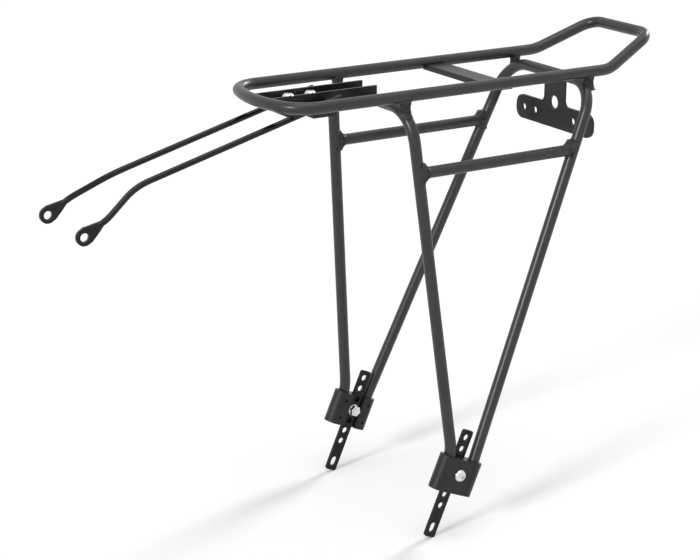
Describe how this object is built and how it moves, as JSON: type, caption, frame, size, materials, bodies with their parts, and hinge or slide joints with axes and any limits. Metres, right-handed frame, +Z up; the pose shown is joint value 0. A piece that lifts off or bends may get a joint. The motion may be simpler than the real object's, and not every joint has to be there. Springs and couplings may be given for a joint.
{
  "type": "bicycle rear luggage rack",
  "caption": "Rear luggage rack for a bicycle: bent rod frame in black, adjustable feet, two adjustable front stays and a rear light bracket.",
  "frame": {"origin": "midway between the slotted holes of the two feet, on the line through the frame's dropout eyelets", "axes": "+X to the rear of the bicycle, -Y to its left side, +Z up"},
  "size_m": [0.5082, 0.1784, 0.3777],
  "materials": {
    "frame_coat": "satin black powder coat with a fine texture",
    "stay_coat": "gloss black",
    "bright_zinc": "bright zinc plate"
  },
  "bodies": {
    "rack_frame": {"platform_loop": "frame_coat", "front_hoop": "frame_coat", "rear_hoop": "frame_coat", "side_rail_left": "frame_coat", "side_rail_right": "frame_coat", "centre_strip": "frame_coat", "rail_welds": "frame_coat", "stay_channel": "frame_coat", "light_bracket": "frame_coat", "bracket_welds": "frame_coat", "stay_clamp_top": "frame_coat", "stay_clamp_bottom": "frame_coat", "stay_clamp_screws": "bright_zinc", "stay_clamp_washers": "bright_zinc", "foot_block_left": "frame_coat", "foot_block_right": "frame_coat", "leg_pins_left": "frame_coat", "leg_pins_right": "frame_coat", "foot_screws": "bright_zinc", "foot_washers": "bright_zinc", "foot_nuts": "bright_zinc"},
    "left_foot_bar": {"foot_bar_left": "frame_coat"},
    "right_foot_bar": {"foot_bar_right": "frame_coat"},
    "left_stay": {"stay_left": "stay_coat"},
    "right_stay": {"stay_right": "stay_coat"}
  },
  "joints": [
    {"name": "left_foot_height", "type": "slide", "parent": "rack_frame", "child": "left_foot_bar", "axis": [0.4003, 0, 0.9164], "range_m": [-0.0288, 0.0288]},
    {"name": "right_foot_height", "type": "slide", "parent": "rack_frame", "child": "right_foot_bar", "axis": [0.4003, 0, 0.9164], "range_m": [-0.0288, 0.0288]},
    {"name": "left_stay_reach", "type": "slide", "parent": "rack_frame", "child": "left_stay", "axis": [0.9664, 0, 0.2571], "range_m": [-0.01, 0.015]},
    {"name": "right_stay_reach", "type": "slide", "parent": "rack_frame", "child": "right_stay", "axis": [0.9664, 0, 0.2571], "range_m": [-0.01, 0.015]}
  ]
}
